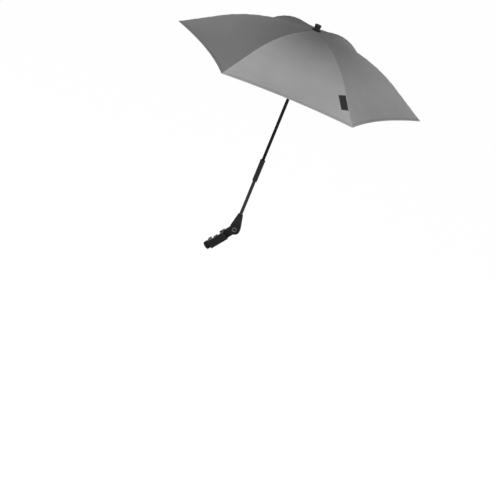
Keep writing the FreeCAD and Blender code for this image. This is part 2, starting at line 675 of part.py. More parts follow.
def runner():
    """The slider on the pole that pushes the stretchers out, notched for their ends."""
    hinge = linkage()[2]
    top = hinge.z + RUNNER_FLANGE_HALF
    foot = hinge.z - RUNNER_FLANGE_HALF
    flange = cylinder(RUNNER_FLANGE_RADIUS, 2 * RUNNER_FLANGE_HALF, Z_AXIS * foot, Z_AXIS)
    rims = [e for e in flange.Edges if e.Curve.TypeId == "Part::GeomCircle"]
    flange = flange.makeFillet(RUNNER_EDGE_ROUND, rims)
    sleeve_length = RUNNER_SLEEVE_LENGTH + RUNNER_FLANGE_HALF
    sleeve = cylinder(RUNNER_SLEEVE_RADIUS, sleeve_length, Z_AXIS * runner_foot(), Z_AXIS)
    slot_half = STRETCHER_RADIUS + SLOT_PLAY
    outside = RUNNER_FLANGE_RADIUS + OVERRUN
    cuts = radial_slots(RUNNER_SLEEVE_RADIUS, outside, slot_half, foot - OVERRUN, top + OVERRUN)
    pin_room = CLIP_PIN_RADIUS + SLIDE_GAP
    for number in range(1, RIB_COUNT + 1):
        half = STRETCHER_PIN_LENGTH / 2 + SLIDE_GAP
        channel = block(
            (HINGE_RADIUS - pin_room, -half, foot - OVERRUN),
            (HINGE_RADIUS + pin_room, half, hinge.z + pin_room),
        )
        channel.rotate(ORIGIN, Z_AXIS, rib_angle(number))
        cuts.append(channel)
    for step in range(RUNNER_GROOVES):
        low = runner_foot() + RUNNER_GROOVE_PITCH * (step + 0.5)
        groove = Part.makeTorus(RUNNER_SLEEVE_RADIUS, RUNNER_GROOVE_DEPTH, Z_AXIS * low, Z_AXIS)
        cuts.append(groove)
    body = flange.fuse(sleeve).removeSplitter()
    for cut in cuts:
        body = body.cut(cut)
    below = Z_AXIS * (runner_foot() - OVERRUN)
    bore = cylinder(POLE_RADIUS + SLIDE_GAP, top - runner_foot() + 2 * OVERRUN, below, Z_AXIS)
    return body.cut(bore)


# Ribs, stretchers and canopy, drawn in the plane of one rib

def rib():
    """One rib: a bent rod with the eye that hangs in the crown."""
    middle = knee_points()[2]
    radius = KNEE_RADIUS - RIB_DEPTH
    inner, outer = math.radians(INNER_SLOPE), math.radians(OUTER_SLOPE)
    hinge = linkage()[0]
    start = Vector(middle[0] + radius * math.sin(inner), 0, middle[1] + radius * math.cos(inner))
    half_turn = (inner + outer) / 2
    top = Vector(middle[0] + radius * math.sin(half_turn), 0, middle[1] + radius * math.cos(half_turn))
    end = Vector(middle[0] + radius * math.sin(outer), 0, middle[1] + radius * math.cos(outer))
    tip = rib_end()
    knee = Part.Arc(start, top, end).toShape()
    path = Part.Wire([Part.makeLine(hinge, start), knee, Part.makeLine(end, tip)])
    section = Part.Wire([Part.makeCircle(RIB_RADIUS, hinge, start - hinge)])
    rod = path.makePipeShell([section], True, False)
    eye = centred_cylinder(EYE_RADIUS, 2 * RIB_RADIUS, hinge, Y_AXIS)
    hole = centred_cylinder(SMALL_PIN_RADIUS + RUNNING_FIT, 2 * (RIB_RADIUS + OVERRUN), hinge, Y_AXIS)
    return rod.fuse(eye).cut(hole)


def rib_end():
    """The outer end of a rib's rod."""
    distance = TIP_RADIUS - RIB_END_SETBACK
    return Vector(distance, 0, profile(distance, RIB_DEPTH)[0])


def rib_clip():
    """The small clip crimped on a rib, with the pin that the stretcher turns on."""
    upper = below_rib(CLIP_GRIP_DROP)
    lower = linkage()[1]
    inside = RIB_RADIUS + SEAT_FIT
    solids = [centred_cylinder(CLIP_PIN_RADIUS, 2 * (inside + CLIP_WALL), lower, Y_AXIS)]
    for side in (-1, 1):
        base = Y_AXIS * (side * inside)
        for middle in (upper, lower):
            solids.append(cylinder(EYE_RADIUS, CLIP_WALL, middle + base, Y_AXIS * side))
        across = (upper - lower).cross(Y_AXIS).normalize() * EYE_RADIUS
        high, low = upper + base, lower + base
        outline = [high + across, low + across, low - across, high - across]
        solids.append(prism(outline, Y_AXIS * (side * CLIP_WALL)))
    return solids[0].fuse(solids[1:]).removeSplitter()


def rib_tip():
    """The cap on a rib's outer end that the canopy's corner is sewn to."""
    end = rib_end()
    slope = math.radians(OUTER_SLOPE)
    along = Vector(math.cos(slope), 0, -math.sin(slope))
    nose = end + along * TIP_CAP_NOSE
    radius = RIB_RADIUS + SEAT_FIT + TIP_CAP_WALL
    cap = cylinder(radius, TIP_CAP_LENGTH, nose - along * TIP_CAP_LENGTH, along)
    mouth = nose - along * (TIP_CAP_LENGTH + TIP_CAP_NOSE)
    bore = cylinder(RIB_RADIUS + SEAT_FIT, TIP_CAP_LENGTH, mouth, along)
    return cap.fuse(Part.makeSphere(radius, nose)).removeSplitter().cut(bore)


def stretcher():
    """One stretcher: a rod from the runner to the rib's clip, with an eye there and a cross pin below."""
    clip, foot = linkage()[1:]
    along = clip - foot
    rod = cylinder(STRETCHER_RADIUS, along.Length, foot, along)
    outer_eye = centred_cylinder(EYE_RADIUS, STRETCHER_EYE_WIDTH, clip, Y_AXIS)
    inner_eye = centred_cylinder(EYE_RADIUS, STRETCHER_EYE_WIDTH, foot, Y_AXIS)
    pin = centred_cylinder(CLIP_PIN_RADIUS, STRETCHER_PIN_LENGTH, foot, Y_AXIS)
    hole = centred_cylinder(CLIP_PIN_RADIUS + RUNNING_FIT, 2 * (EYE_RADIUS + OVERRUN), clip, Y_AXIS)
    return rod.fuse([outer_eye, inner_eye, pin]).cut(hole)


def canopy_gore():
    """The fabric on both sides of one rib, out to the middle of the two gores that meet at it."""
    half_angle = math.pi / RIB_COUNT
    rows = []
    for row in range(GORE_ROWS):
        share = row / (GORE_ROWS - 1)
        distance = FABRIC_HOLE_RADIUS + (TIP_RADIUS - FABRIC_HOLE_RADIUS) * share
        height = profile(distance)[0]
        columns = []
        for column in range(GORE_COLUMNS):
            across = column / (GORE_COLUMNS - 1)
            bow = 1 - (1 - across) ** 2
            aside = GORE_GAP / 2 + (distance * math.sin(half_angle) - GORE_GAP / 2) * (1 - across)
            out = distance * math.cos(half_angle) - EDGE_SCALLOP * share ** 2 * bow
            down = GORE_SAG * 27 / 4 * share ** 2 * (1 - share) * bow
            turned = Vector(
                out * math.cos(half_angle) + aside * math.sin(half_angle),
                out * math.sin(half_angle) - aside * math.cos(half_angle),
                height - down,
            )
            columns.append(turned)
        rows.append(columns)
    surface = Part.BSplineSurface()
    surface.interpolate(rows)
    half = surface.toShape().extrude(-Z_AXIS * FABRIC_THICKNESS)
    return half.fuse(half.mirror(ORIGIN, Y_AXIS)).removeSplitter()


def pieces():
    """Every piece of the parasol in the part's frame, by name."""
    made = {
        "clamp_body": on_clamp(clamp_body()),
        "clamp_liner": on_clamp(clamp_liner()),
        "clamp_shoe": on_clamp(clamp_shoe()),
        "shoe_pad": on_clamp(shoe_pad()),
        "thumb_screw": on_clamp(thumb_screw()),
        "thumb_knob": on_clamp(thumb_knob()),
        "friction_washers": on_clamp(friction_washers()),
        "yoke": on_pole(yoke()),
        "pivot_bolt": on_pole(pivot_bolt()),
        "pivot_nut": on_pole(pivot_nut()),
        "lower_rod": on_pole(lower_rod()),
        "socket_rivet": on_pole(socket_rivet()),
        "tilt_knuckle": on_pole(tilt_knuckle()),
        "tilt_housing": on_pole(tilt_housing()),
        "tilt_pin": on_pole(tilt_pin()),
        "friction_plug": on_pole(friction_plug()),
        "housing_rivet": on_pole(housing_rivet()),
        "upper_pole": on_pole(upper_pole()),
        "runner_catch": on_rim(runner_catch()),
        "catch_anchor": on_rim(catch_anchor()),
        "crown": on_rim(crown()),
        "crown_pins": on_rim(crown_pins()),
        "finial": on_rim(finial()),
        "runner": on_rim(runner()),
    }
    drawn = {
        "rib": rib(),
        "rib_clip": rib_clip(),
        "rib_tip": rib_tip(),
        "stretcher": stretcher(),
        "canopy_gore": canopy_gore(),
    }
    for number in range(1, RIB_COUNT + 1):
        for name, shape in drawn.items():
            made[f"{name}_{number}"] = at_rib(shape, number)
    return made


def main():
    """Writes every piece to its own file, and prints what it measures."""
    os.makedirs("parts", exist_ok=True)
    for name, shape in pieces().items():
        shape.exportStep(f"parts/{name}.step")
        box = shape.BoundBox
        print(
            f"{name:18s} solids {len(shape.Solids)} valid {shape.isValid()} volume {shape.Volume:10.2f} "
            f"z {box.ZMin:7.1f} to {box.ZMax:7.1f}"
        )


if __name__ == "__main__":
    main()
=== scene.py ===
"""Dresses a folding parasol: sewn canopy, coated poles, moulded fittings, screw clamp and a plain studio."""
import json
import logging
import math
from collections.abc import Callable
from dataclasses import dataclass, field
from enum import Enum

import bpy
import numpy as np
from mathutils import Matrix, Vector


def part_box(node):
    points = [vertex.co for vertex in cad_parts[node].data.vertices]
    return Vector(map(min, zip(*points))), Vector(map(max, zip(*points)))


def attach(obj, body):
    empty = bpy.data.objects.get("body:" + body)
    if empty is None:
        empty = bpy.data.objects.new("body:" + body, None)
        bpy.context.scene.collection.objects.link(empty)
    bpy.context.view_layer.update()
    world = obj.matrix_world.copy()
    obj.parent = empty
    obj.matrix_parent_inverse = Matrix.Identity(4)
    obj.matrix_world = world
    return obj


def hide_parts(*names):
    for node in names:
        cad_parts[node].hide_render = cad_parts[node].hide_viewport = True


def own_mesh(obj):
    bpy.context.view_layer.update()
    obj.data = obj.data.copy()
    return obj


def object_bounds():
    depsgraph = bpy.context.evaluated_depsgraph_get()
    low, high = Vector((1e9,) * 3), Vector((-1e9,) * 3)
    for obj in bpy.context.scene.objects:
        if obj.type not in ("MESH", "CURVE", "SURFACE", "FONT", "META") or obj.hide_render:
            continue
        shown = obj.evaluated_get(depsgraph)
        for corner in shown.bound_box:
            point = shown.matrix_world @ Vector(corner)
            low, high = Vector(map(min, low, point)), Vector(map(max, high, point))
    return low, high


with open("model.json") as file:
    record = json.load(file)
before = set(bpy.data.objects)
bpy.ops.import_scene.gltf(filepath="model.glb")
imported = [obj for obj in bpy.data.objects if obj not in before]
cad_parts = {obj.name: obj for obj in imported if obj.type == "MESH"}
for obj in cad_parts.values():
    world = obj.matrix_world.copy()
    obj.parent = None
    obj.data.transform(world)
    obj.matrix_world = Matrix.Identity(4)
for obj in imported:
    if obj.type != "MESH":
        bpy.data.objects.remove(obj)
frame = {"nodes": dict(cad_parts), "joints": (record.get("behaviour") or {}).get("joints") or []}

CAD_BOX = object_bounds()
MM = 0.001
WAVE_LENGTH = math.pi / 10  # of a wave texture's bands at a scale of one
MIX_FROM, MIX_TO, MIX_RESULT = 6, 7, 2  # the colour sockets of a Mix node
MASK = (0.0, 1.0)  # the ends of a mesh's own mask
CUBIC_PEAK = 27 / 4  # brings the peak of s * s * (1 - s) to one
BOLT_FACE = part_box("pivot_bolt")[0].y
BOLT_HIGHLIGHT = (BOLT_FACE + 1.0 * MM, BOLT_FACE + 0.8 * MM)  # where the painted highlight on the head's rim starts, and where it is full
WHITE = "#ffffff"
LOOP_SIDES, THREAD_SIDES = 14, 6  # flats round a thread loop, and round the thread
LOG = logging.getLogger("parasol")

Material, Piece = bpy.types.Material, bpy.types.Object
Tree, Node, Socket = bpy.types.NodeTree, bpy.types.Node, bpy.types.NodeSocket
Values = dict[str | int, object]


def linear(hex_colour: str) -> tuple[float, float, float, float]:
    """Turns an sRGB hex colour into linear light.

    Args:
        hex_colour: Six hex digits, with or without a leading hash.

    Returns:
        Red, green, blue and an alpha of one.
    """
    digits = hex_colour.lstrip("#")
    shares = [int(digits[place:place + 2], 16) / 255 for place in (0, 2, 4)]
    lit = [s / 12.92 if s <= 0.04045 else ((s + 0.055) / 1.055) ** 2.4 for s in shares]
    return (*lit, 1.0)


def clamped(value: float) -> float:
    """Holds a value between 0 and 1."""
    return min(1.0, max(0.0, value))


def add(tree: Tree, kind: str, settings: Values | None = None, inputs: Values | None = None) -> Node:
    """Adds a node with its settings, and sets or links its inputs.

    Args:
        tree: The tree that gets the node.
        kind: The node's type name.
        settings: Attributes of the node and their values.
        inputs: Input names or numbers, each with a value or with the socket to link from.

    Returns:
        The new node.
    """
    node = tree.nodes.new(kind)
    for name, value in (settings or {}).items():
        setattr(node, name, value)
    for name, value in (inputs or {}).items():
        if isinstance(value, Socket):
            tree.links.new(value, node.inputs[name])
        else:
            node.inputs[name].default_value = value
    return node


def paint(tree: Tree, factor: Socket, ends: tuple[float, float], under: str | Socket, over: str) -> Socket:
    """Paints a colour over another, more and more from one value of a factor to another.

    Args:
        tree: The tree that gets the nodes.
        factor: The socket that drives the paint.
        ends: The factor's values at which nothing is painted and at which all is.
        under: The hex colour or the colour socket that is painted over.
        over: The hex colour that goes over it.

    Returns:
        The painted colour.
    """
    low, high = ends
    share = add(tree, "ShaderNodeMapRange", inputs={"Value": factor, "From Min": low, "From Max": high})
    base = linear(under) if isinstance(under, str) else under
    mixed = add(tree, "ShaderNodeMix", {"data_type": "RGBA"}, {
        "Factor": share.outputs["Result"], MIX_FROM: base, MIX_TO: linear(over),
    })
    return mixed.outputs[MIX_RESULT]


def new_material(name: str) -> tuple[Material, Tree]:
    """Makes an empty node material.

    Args:
        name: The material's name.

    Returns:
        The material and its tree.
    """
    material = bpy.data.materials.new(name)
    material.use_nodes = True
    material.node_tree.nodes.clear()
    return material, material.node_tree


@dataclass(frozen=True)
class WovenPolyester:
    """Plain-weave polyester: grey cloth, paler on the threads' crowns, a little darker where doubled."""

    name: str = "woven polyester, grey"
    valley: str = "#8c8c8d"
    crown: str = "#a2a2a3"
    doubled: str = "#909092"
    thread_mm: float = 1.1  # real threads are about 0.3 mm apart, drawn coarser so that the weave shows
    wander: float = 0.6  # of the threads from straight lines
    wander_detail: float = 1.0
    relief_mm: float = 0.15
    relief_strength: float = 0.35
    cloud_mm: float = 70.0
    cloud_detail: float = 4.0
    cloud_share: float = 0.45  # of the cloth's tone; the rest is weave
    tones: tuple[float, float] = (0.25, 0.75)  # at which the valley's and the crown's colours are full
    roughness: float = 0.86
    spread: float = 0.06  # of the roughness, either way
    specular: float = 0.12
    sheen: float = 0.02
    sheen_roughness: float = 0.5

    def material(self) -> Material:
        """Builds the material; its weave follows the cloth's own UV map, whose unit is a metre.

        Returns:
            The material.
        """
        material, tree = new_material(self.name)
        uv = add(tree, "ShaderNodeUVMap", {"uv_map": "weave"}).outputs["UV"]
        place = add(tree, "ShaderNodeTexCoord").outputs["Object"]
        warp, weft = (
            add(tree, "ShaderNodeTexWave", {"wave_type": "BANDS", "bands_direction": direction}, {
                "Vector": uv, "Scale": WAVE_LENGTH / (self.thread_mm * MM), "Distortion": self.wander,
                "Detail": self.wander_detail,
            }).outputs["Fac"]
            for direction in ("X", "Y")
        )
        weave = add(tree, "ShaderNodeMath", {"operation": "MULTIPLY"}, {0: warp, 1: weft}).outputs[0]
        cloud = add(tree, "ShaderNodeTexNoise", inputs={
            "Vector": place, "Scale": 1 / (self.cloud_mm * MM), "Detail": self.cloud_detail,
        }).outputs["Fac"]
        tone = add(tree, "ShaderNodeMix", {"data_type": "FLOAT"}, {
            "Factor": self.cloud_share, "A": weave, "B": cloud,
        }).outputs["Result"]
        cloth = paint(tree, tone, self.tones, self.valley, self.crown)
        mask = add(tree, "ShaderNodeAttribute", {"attribute_name": "doubled"}).outputs["Fac"]
        colour = paint(tree, mask, MASK, cloth, self.doubled)
        bump = add(tree, "ShaderNodeBump", inputs={
            "Strength": self.relief_strength, "Distance": self.relief_mm * MM, "Height": weave,
        }).outputs["Normal"]
        shine = add(tree, "ShaderNodeMapRange", inputs={
            "Value": cloud, "To Min": self.roughness - self.spread, "To Max": self.roughness + self.spread,
        }).outputs["Result"]
        shader = add(tree, "ShaderNodeBsdfPrincipled", inputs={
            "Base Color": colour, "Roughness": shine, "Normal": bump, "Specular IOR Level": self.specular,
            "Sheen Weight": self.sheen, "Sheen Roughness": self.sheen_roughness,
        })
        add(tree, "ShaderNodeOutputMaterial", inputs={"Surface": shader.outputs["BSDF"]})
        return material


@dataclass(frozen=True)
class Grained:
    """A surface with one grain: moulded plastic, coated or bare metal, rubber, fibre or thread, with a
    highlight painted along Y if asked.
    """

    name: str
    dark: str
    light: str
    roughness: float
    grain_mm: float  # of the coarsest grains; finer ones wouldn't show
    relief_mm: float
    spread: float = 0.08  # of the roughness, either way
    metallic: float = 0.0
    specular: float = 0.5
    relief_strength: float = 0.5
    cloud_mm: float = 25.0
    cloud_share: float = 0.5  # of the surface's tone; the rest is grain
    details: tuple[float, float] = (3.0, 5.0)  # of the grain and of the clouds
    tones: tuple[float, float] = (0.3, 0.7)  # at which the dark and the light colours are full
    painted_highlight: str = ""  # the colour of a highlight painted along Y, if there is one
    highlight_span: tuple[float, float] = MASK  # places along Y where the painted highlight starts and where it is full

    def material(self) -> Material:
        """Builds the material on the piece's own coordinates.

        Returns:
            The material.
        """
        material, tree = new_material(self.name)
        place = add(tree, "ShaderNodeTexCoord").outputs["Object"]
        grain, cloud = (
            add(tree, "ShaderNodeTexNoise", inputs={
                "Vector": place, "Scale": 1 / (size * MM), "Detail": detail,
            }).outputs["Fac"]
            for size, detail in zip((self.grain_mm, self.cloud_mm), self.details)
        )
        tone = add(tree, "ShaderNodeMix", {"data_type": "FLOAT"}, {
            "Factor": self.cloud_share, "A": grain, "B": cloud,
        }).outputs["Result"]
        colour = paint(tree, tone, self.tones, self.dark, self.light)
        # A paler band painted along Y stands in for the highlight that light puts on an edge
        if self.painted_highlight:
            along = add(tree, "ShaderNodeSeparateXYZ", inputs={"Vector": place}).outputs["Y"]
            colour = paint(tree, along, self.highlight_span, colour, self.painted_highlight)
        low, high = self.tones
        shine = add(tree, "ShaderNodeMapRange", inputs={
            "Value": cloud, "From Min": low, "From Max": high,
            "To Min": self.roughness - self.spread, "To Max": self.roughness + self.spread,
        }).outputs["Result"]
        bump = add(tree, "ShaderNodeBump", inputs={
            "Strength": self.relief_strength, "Distance": self.relief_mm * MM, "Height": grain,
        }).outputs["Normal"]
        shader = add(tree, "ShaderNodeBsdfPrincipled", inputs={
            "Base Color": colour, "Roughness": shine, "Normal": bump, "Metallic": self.metallic,
            "Specular IOR Level": self.specular,
        })
        add(tree, "ShaderNodeOutputMaterial", inputs={"Surface": shader.outputs["BSDF"]})
        return material


@dataclass(frozen=True)
class WovenTag:
    """A damask-woven tag: black satin field inside a plain, paler woven border, with nothing on it."""

    name: str = "woven satin tag, black"
    field_colour: str = "#18181a"
    rib_colour: str = "#2b2b2e"
    border_colour: str = "#303033"
    rib_mm: float = 1.2  # real ribs are about 0.4 mm apart, drawn coarser so that they show
    wander: float = 0.3  # of the ribs from straight lines
    tones: tuple[float, float] = (0.2, 0.8)  # at which the field's and the ribs' colours are full
    relief_mm: float = 0.1
    relief_strength: float = 0.4
    roughness: float = 0.55
    specular: float = 0.15

    def material(self) -> Material:
        """Builds the material; its ribs follow the tag's UV map, and its border the tag's own mask.

        Returns:
            The material.
        """
        material, tree = new_material(self.name)
        uv = add(tree, "ShaderNodeUVMap", {"uv_map": "weave"}).outputs["UV"]
        rib = add(tree, "ShaderNodeTexWave", {"wave_type": "BANDS", "bands_direction": "Y"}, {
            "Vector": uv, "Scale": WAVE_LENGTH / (self.rib_mm * MM), "Distortion": self.wander,
        }).outputs["Fac"]
        satin = paint(tree, rib, self.tones, self.field_colour, self.rib_colour)
        mask = add(tree, "ShaderNodeAttribute", {"attribute_name": "doubled"}).outputs["Fac"]
        colour = paint(tree, mask, MASK, satin, self.border_colour)
        bump = add(tree, "ShaderNodeBump", inputs={
            "Strength": self.relief_strength, "Distance": self.relief_mm * MM, "Height": rib,
        }).outputs["Normal"]
        shader = add(tree, "ShaderNodeBsdfPrincipled", inputs={
            "Base Color": colour, "Normal": bump, "Roughness": self.roughness,
            "Specular IOR Level": self.specular,
        })
        add(tree, "ShaderNodeOutputMaterial", inputs={"Surface": shader.outputs["BSDF"]})
        return material


class Finish(Enum):
    """The finishes of the parasol's pieces."""

    # Plain-weave polyester: matte, with a fine weave under soft clouds of tone
    CLOTH = WovenPolyester()
    # Damask-woven satin of the bare tag: black, with fine ribs and a paler border
    TAG = WovenTag()
    # Glass-filled nylon, moulded with a spark-eroded grain: soft wide highlights, nearly black
    NYLON = Grained("moulded nylon, black", "#121213", "#1b1b1c", 0.46, 0.7, 0.03, specular=0.11)
    # The collar's smoother ABS, a little paler than the nylon
    ABS = Grained("moulded ABS, black", "#1a1a1b", "#222223", 0.38, 0.9, 0.02, specular=0.12)
    # Polyester powder coat on steel tube: fine orange peel, matt
    COATED_TUBE = Grained(
        "powder-coated steel tube, black", "#0c0c0d", "#121213", 0.5, 2.2, 0.02, specular=0.05,
    )
    # Black chrome on the lower rod: smooth, dark and a little paler than the coated pole
    BLACK_CHROME = Grained(
        "black-chromed steel rod", "#303032", "#3a3a3c", 0.3, 4.0, 0.01, spread=0.03, metallic=1.0,
    )
    # Blacked steel of the pivot bolt, with a paler highlight painted on the rim of its head
    BLACKED_BOLT = Grained(
        "blacked steel, rubbed bright", "#28282a", "#323234", 0.2, 1.5, 0.006, metallic=1.0,
        painted_highlight="#68686b", highlight_span=BOLT_HIGHLIGHT,
    )
    # Drawn spring steel of ribs, stretchers and pins, blacked: dark, with a soft mottled gloss
    BLACK_WIRE = Grained("blacked spring steel wire", "#1a1a1b", "#2c2c2e", 0.36, 1.2, 0.01, metallic=0.6)
    # Zinc plating on turned steel: pale, slightly clouded
    ZINC = Grained("zinc-plated steel", "#8f9194", "#b9bbbe", 0.32, 0.9, 0.008, metallic=1.0)
    # Bare spring steel of the catch: satin, darker than the plating
    SPRING = Grained("bare spring steel", "#4d4e51", "#606164", 0.42, 0.8, 0.01, metallic=1.0)
    # Nitrile rubber, moulded: dull, with a dusty bloom
    RUBBER = Grained("nitrile rubber, black", "#1d1d1d", "#2b2b2b", 0.82, 0.9, 0.05, specular=0.2)
    # Pressed vulcanised fibre washers: brown, fibrous
    FIBRE = Grained("pressed fibre, brown", "#3d2f26", "#5c4636", 0.78, 0.6, 0.04)
    # Spun polyester sewing thread: a shade darker than the cloth
    THREAD = Grained("spun polyester thread, grey", "#6f6f71", "#838385", 0.7, 0.4, 0.05, specular=0.2)

    @property
    def material(self) -> Material:
        """The finish's material, made the first time that it is asked for."""
        return bpy.data.materials.get(self.value.name) or self.value.material()


class Side(Enum):
    """The two halves of the cloth at a rib, by the way that they lie round the pole."""

    LEFT = 1
    RIGHT = -1


@dataclass(frozen=True)
class Band:
    """A length of cloth along a rib; its ends are distances from the pole."""

    number: int
    start: float
    stop: float


def new_object(name: str, data: bpy.types.ID) -> Piece:
    """Makes an object at the origin and links it to the scene.

    Args:
        name: The object's name.
        data: Its mesh, lamp or camera.

    Returns:
        The linked object.
    """
    made = bpy.data.objects.new(name, data)
    bpy.context.scene.collection.objects.link(made)
    return made


def mesh_object(
    name: str, points: list[Vector], faces: list[tuple[int, ...]], material: Material
) -> Piece:
    """Makes a smooth mesh object.

    Args:
        name: The piece's name.
        points: Corner points in the part's frame, in metres.
        faces: Corner numbers of each face.
        material: The material of the whole piece.

    Returns:
        The linked object.
    """
    mesh = bpy.data.meshes.new(name)
    mesh.from_pydata([tuple(point) for point in points], [], faces)
    mesh.validate()
    mesh.shade_smooth()
    mesh.materials.append(material)
    return new_object(name, mesh)


@dataclass
class Sheet:
    """A thin closed sheet of cloth in the making: an outer and an inner grid of points, row by row."""

    wide: int  # points in a row
    outer: list[Vector] = field(default_factory=list)
    inner: list[Vector] = field(default_factory=list)
    flat: list[tuple[float, float]] = field(default_factory=list)
    marks: list[float] = field(default_factory=list)

    def put(self, outer: Vector, inner: Vector, flat: tuple[float, float], mark: float) -> None:
        """Adds the next place in the row.

        Args:
            outer: The point of the outer grid.
            inner: The point of the inner grid.
            flat: The place on the flat cloth, in metres.
            mark: How far the cloth is doubled there, from 0 to 1.
        """
        self.outer.append(outer)
        self.inner.append(inner)
        self.flat.append(flat)
        self.marks.append(mark)

    @property
    def rows(self) -> int:
        """Rows of each grid."""
        return len(self.outer) // self.wide

    def faces(self, turned: bool) -> list[tuple[int, ...]]:
        """Gives the faces of both grids and of the border between them.

        Args:
            turned: Whether the faces are turned round, for rows that run the other way.

        Returns:
            Corner numbers of each face, the inner grid's after the outer's.
        """
        rows, wide, under = self.rows, self.wide, len(self.outer)
        faces = []
        for row in range(rows - 1):
            for place in range(wide - 1):
                corner = row * wide + place
                ring = (corner, corner + wide, corner + wide + 1, corner + 1)
                faces.append(ring)
                faces.append(tuple(under + c for c in reversed(ring)))
        border = list(range(wide))
        border += [row * wide + wide - 1 for row in range(1, rows)]
        border += [(rows - 1) * wide + place for place in range(wide - 2, -1, -1)]
        border += [row * wide for row in range(rows - 2, 0, -1)]
        for here, there in zip(border, border[1:] + border[:1]):
            faces.append((here, there, under + there, under + here))
        return [tuple(reversed(face)) for face in faces] if turned else faces

    def on_border(self, corner: int) -> bool:
        """Whether a corner lies on the sheet's border."""
        row, place = divmod(corner % len(self.outer), self.wide)
        return row in (0, self.rows - 1) or place in (0, self.wide - 1)

    def made(self, name: str, finish: Finish, turned: bool = False, cut: bool = True) -> Piece:
        """Makes the piece, with its flat places as a UV map and its doubled cloth as a mask.

        Args:
            name: The piece's name.
            finish: Its finish.
            turned: Whether its faces are turned round.
            cut: Whether its border is a sharp cut edge.

        Returns:
            The linked object.
        """
        piece = mesh_object(name, self.outer + self.inner, self.faces(turned), finish.material)
        mesh = piece.data
        if cut:
            for edge in mesh.edges:
                edge.use_edge_sharp = all(self.on_border(corner) for corner in edge.vertices)
        layer = mesh.uv_layers.new(name="weave")
        for loop in mesh.loops:
            layer.data[loop.index].uv = self.flat[loop.vertex_index % len(self.flat)]
        mesh.attributes.new("doubled", "FLOAT", "POINT").data.foreach_set("value", self.marks * 2)
        return piece


def bake_nodes(name: str, path: list[Vector], tree: Tree, values: Values) -> Piece:
    """Runs a node tree on a polyline and keeps the result as a plain mesh.

    Args:
        name: The piece's name.
        path: The polyline's points in the part's frame, in metres.
        tree: The geometry tree.
        values: The tree's inputs by name.

    Returns:
        The linked object, with no modifier left on it.
    """
    mesh = bpy.data.meshes.new(name + "_path")
    mesh.from_pydata([tuple(point) for point in path], [(i, i + 1) for i in range(len(path) - 1)], [])
    carrier = new_object(name + "_path", mesh)
    modifier = carrier.modifiers.new("nodes", "NODES")
    modifier.node_group = tree
    sockets = {item.name: item.identifier for item in tree.interface.items_tree if item.in_out == "INPUT"}
    for key, value in values.items():
        modifier[sockets[key]] = value
    bpy.context.view_layer.update()
    graph = bpy.context.evaluated_depsgraph_get()
    made = bpy.data.meshes.new_from_object(carrier.evaluated_get(graph), depsgraph=graph)
    made.name = name
    bpy.data.objects.remove(carrier)
    return new_object(name, made)


def path_tree(name: str, sizes: tuple[str, ...], shape: Callable[[Tree, Node], Socket]) -> Tree:
    """Builds a geometry tree that repeats a shape along a path, turned to follow it.

    Args:
        name: The tree's name.
        sizes: Names of the tree's inputs for sizes; the one named Pitch spaces the copies.
        shape: Adds the shape, which lies along Z, with the sizes of the tree's input node.

    Returns:
        The tree.
    """
    tree = bpy.data.node_groups.new(name, "GeometryNodeTree")
    inputs = [("Path", "Geometry"), *((size, "Float") for size in sizes), ("Material", "Material")]
    for label, kind in inputs:
        tree.interface.new_socket(label, in_out="INPUT", socket_type="NodeSocket" + kind)
    tree.interface.new_socket("Pieces", in_out="OUTPUT", socket_type="NodeSocketGeometry")
    given = add(tree, "NodeGroupInput")
    curve = add(tree, "GeometryNodeMeshToCurve", inputs={"Mesh": given.outputs["Path"]})
    spaced = add(tree, "GeometryNodeResampleCurve", {"mode": "LENGTH"}, {
        "Curve": curve.outputs["Curve"], "Length": given.outputs["Pitch"],
    })
    along = add(tree, "GeometryNodeInputTangent").outputs["Tangent"]
    turn = add(tree, "FunctionNodeAlignRotationToVector", {"axis": "Z"}, {"Vector": along})
    placed = add(tree, "GeometryNodeInstanceOnPoints", inputs={
        "Points": spaced.outputs["Curve"], "Instance": shape(tree, given),
        "Rotation": turn.outputs["Rotation"],
    })
    real = add(tree, "GeometryNodeRealizeInstances", inputs={"Geometry": placed.outputs["Instances"]})
    done = add(tree, "GeometryNodeSetMaterial", inputs={
        "Geometry": real.outputs["Geometry"], "Material": given.outputs["Material"],
    })
    add(tree, "NodeGroupOutput", inputs={"Pieces": done.outputs["Geometry"]})
    return tree


def stitch(tree: Tree, given: Node) -> Socket:
    """Adds one short straight stitch to a tree.

    Args:
        tree: The tree.
        given: Its input node, with Radius and Length.

    Returns:
        The stitch.
    """
    sizes = {"Vertices": THREAD_SIDES, "Radius": given.outputs["Radius"], "Depth": given.outputs["Length"]}
    return add(tree, "GeometryNodeMeshCylinder", {"fill_type": "TRIANGLE_FAN"}, sizes).outputs["Mesh"]


def thread_loop(tree: Tree, given: Node) -> Socket:
    """Adds one closed loop of thread to a tree.

    Args:
        tree: The tree.
        given: Its input node, with Loop and Radius.

    Returns:
        The loop.
    """
    loop, thread = (
        add(tree, "GeometryNodeCurvePrimitiveCircle", inputs={
            "Resolution": sides, "Radius": given.outputs[size],
        }).outputs["Curve"]
        for sides, size in ((LOOP_SIDES, "Loop"), (THREAD_SIDES, "Radius"))
    )
    ring = add(tree, "GeometryNodeCurveToMesh", inputs={"Curve": loop, "Profile Curve": thread})
    return ring.outputs["Mesh"]


